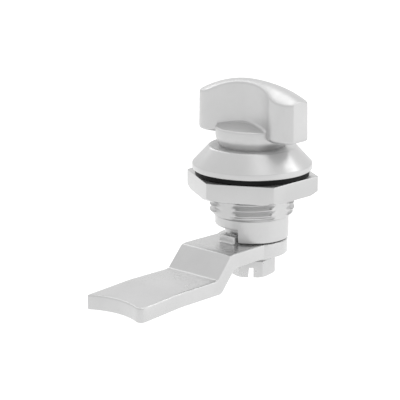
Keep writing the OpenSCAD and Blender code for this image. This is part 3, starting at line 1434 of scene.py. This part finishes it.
# Stage, light and camera


@dataclass(frozen=True)
class Lamp:
    """One soft square lamp, aimed at the lock.

    Attributes:
        name: Name of the lamp.
        place: Where it stands, in metres.
        size: Width and height in metres.
        power: Watts.
    """

    name: str
    place: tuple[float, float, float]
    size: float
    power: float

    def light(self, aim: Vector) -> None:
        """Sets the lamp up.

        Args:
            aim: The point that it faces.
        """
        data = bpy.data.lights.new(self.name, "AREA")
        data.shape = "RECTANGLE"
        data.size = data.size_y = self.size
        data.energy = self.power
        obj = bpy.data.objects.new(self.name, data)
        place = Vector(self.place)
        turn = (aim - place).to_track_quat("-Z", "Y").to_matrix().to_4x4()
        obj.matrix_world = Matrix.Translation(place) @ turn
        bpy.context.scene.collection.objects.link(obj)


@dataclass(frozen=True)
class Studio:
    """Pale floor, white surround, soft lamps and the camera.

    Attributes:
        azimuth: Turn of the camera about the axis in degrees.
        elevation: Height of the camera over the horizon in degrees.
        distance: Distance of the camera in metres.
        focal: Focal length in pixels of the photograph.
        sensor: Width of the camera's sensor in millimetres.
        near: Nearest distance that the camera shows, in metres.
        aside: Place of the aimed point along the camera's right, in metres.
        height: Height of the aimed point, in metres.
        fill: Strength of the surround on dull surfaces.
        floor_z: Height of the floor, in metres.
        floor_reach: Half the floor's width, in metres.
        floor_grey: Grey of the floor.
        floor_rough: Roughness of the floor.
        floor_glow: Light of the floor's own, for what is seen only.
        lamps: The lamps.
    """

    azimuth: float = -46.8
    elevation: float = 14.46
    distance: float = 0.5
    focal: float = 1926.84
    sensor: float = 36.0
    near: float = 0.01
    aside: float = -0.01349
    height: float = -0.00878
    fill: float = 0.62
    floor_z: float = -0.12
    floor_reach: float = 4.0
    floor_grey: float = 0.86
    floor_rough: float = 0.9
    floor_glow: float = 0.6
    lamps: tuple[Lamp, ...] = (
        Lamp("key", (0.256, 0.12, 0.748), 0.48, 0.80),
        Lamp("side", (0.511, -0.304, 0.535), 0.225, 0.35),
        Lamp("back", (0.2, 0.673, 0.384), 0.196, 0.20),
        Lamp("rear", (0.153, 0.531, 0.579), 0.253, 0.16),
        Lamp("front", (-0.064, -0.296, 0.74), 0.34, 0.18),
        Lamp("low", (0.401, -0.682, 0.12), 0.78, 0.86),
    )

    def camera(self) -> None:
        """Places the camera: the aimed point plus the distance along the line of sight, with no roll."""
        a, e = math.radians(self.azimuth), math.radians(self.elevation)
        right = Vector((math.cos(a), math.sin(a), 0.0))
        out = Vector((math.sin(a) * math.cos(e), -math.cos(a) * math.cos(e), math.sin(e)))
        aim = right * self.aside + Vector((0.0, 0.0, self.height))
        data = bpy.data.cameras.new("camera")
        data.sensor_width = self.sensor
        data.lens = self.focal * self.sensor / PHOTO_WIDTH
        data.clip_start = self.near
        obj = bpy.data.objects.new("camera", data)
        turn = Matrix((right, out.cross(right), out)).transposed().to_4x4()
        obj.matrix_world = Matrix.Translation(aim + out * self.distance) @ turn
        bpy.context.scene.collection.objects.link(obj)
        bpy.context.scene.camera = obj

    def seen(self, tree: bpy.types.NodeTree, unseen: float, seen: float) -> bpy.types.NodeSocket:
        """One value on camera, glossy and transmission rays, and another on the others.

        Args:
            tree: Node tree to add to.
            unseen: Value on the other rays.
            seen: Value on camera, glossy and transmission rays.

        Returns:
            The value socket.
        """
        path = tree.nodes.new("ShaderNodeLightPath")
        first, second = (tree.nodes.new("ShaderNodeMath") for _ in range(2))
        first.operation = second.operation = "MAXIMUM"
        tree.links.new(path.outputs["Is Camera Ray"], first.inputs[0])
        tree.links.new(path.outputs["Is Glossy Ray"], first.inputs[1])
        tree.links.new(first.outputs[0], second.inputs[0])
        tree.links.new(path.outputs["Is Transmission Ray"], second.inputs[1])
        span = tree.nodes.new("ShaderNodeMapRange")
        span.inputs["To Min"].default_value = unseen
        span.inputs["To Max"].default_value = seen
        tree.links.new(second.outputs[0], span.inputs["Value"])
        return span.outputs["Result"]

    def surround(self) -> None:
        """White surround for what is seen, weaker where it lights dull surfaces."""
        world = bpy.data.worlds.new("surround")
        world.use_nodes = True
        tree = world.node_tree
        back = tree.nodes["Background"]
        back.inputs["Color"].default_value = WHITE
        tree.links.new(self.seen(tree, self.fill, 1.0), back.inputs["Strength"])
        bpy.context.scene.world = world

    def floor(self) -> None:
        """Pale floor that the camera sees as white, apart from the shadow on it."""
        corners = np.array([(-1, -1), (1, -1), (1, 1), (-1, 1)], float) * self.floor_reach
        mesh = bpy.data.meshes.new("floor")
        mesh.from_pydata([(x, y, self.floor_z) for x, y in corners.tolist()], [], [(0, 1, 2, 3)])
        obj = bpy.data.objects.new("floor", mesh)
        bpy.context.scene.collection.objects.link(obj)
        sheet = NodeSheet("pale_floor")
        inputs = sheet.shader.inputs
        inputs["Base Color"].default_value = (self.floor_grey, self.floor_grey, self.floor_grey, 1.0)
        inputs["Roughness"].default_value = self.floor_rough
        inputs["Specular IOR Level"].default_value = 0.0
        inputs["Emission Color"].default_value = WHITE
        sheet.join(self.seen(sheet.tree, 0.0, self.floor_glow), inputs["Emission Strength"])
        mesh.materials.append(sheet.material)

    def build(self) -> None:
        """Sets up camera, surround, floor and lamps."""
        self.camera()
        self.surround()
        self.floor()
        aim = Vector((0.0, 0.0, 0.0))
        for lamp in self.lamps:
            lamp.light(aim)
        bpy.context.scene.view_settings.view_transform = "Standard"


def main() -> None:
    """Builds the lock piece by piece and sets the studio."""
    logging.basicConfig(level=logging.INFO, format="%(name)s: %(message)s")
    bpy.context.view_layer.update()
    finishes = Finishes()
    rubber = finishes.rubber.make()
    Studio().build()
    Housing().build(finishes)
    Gasket().build(rubber)
    fastening = Fastening()
    fastening.build_nut(finishes)
    Knob().build(finishes)
    Cam().build(finishes)
    fastening.build_screw(finishes)
    dress_solid("lock_washer", finishes.washer.make())
    dress_solid("spindle_seal", rubber)


if __name__ == "__main__":
    main()
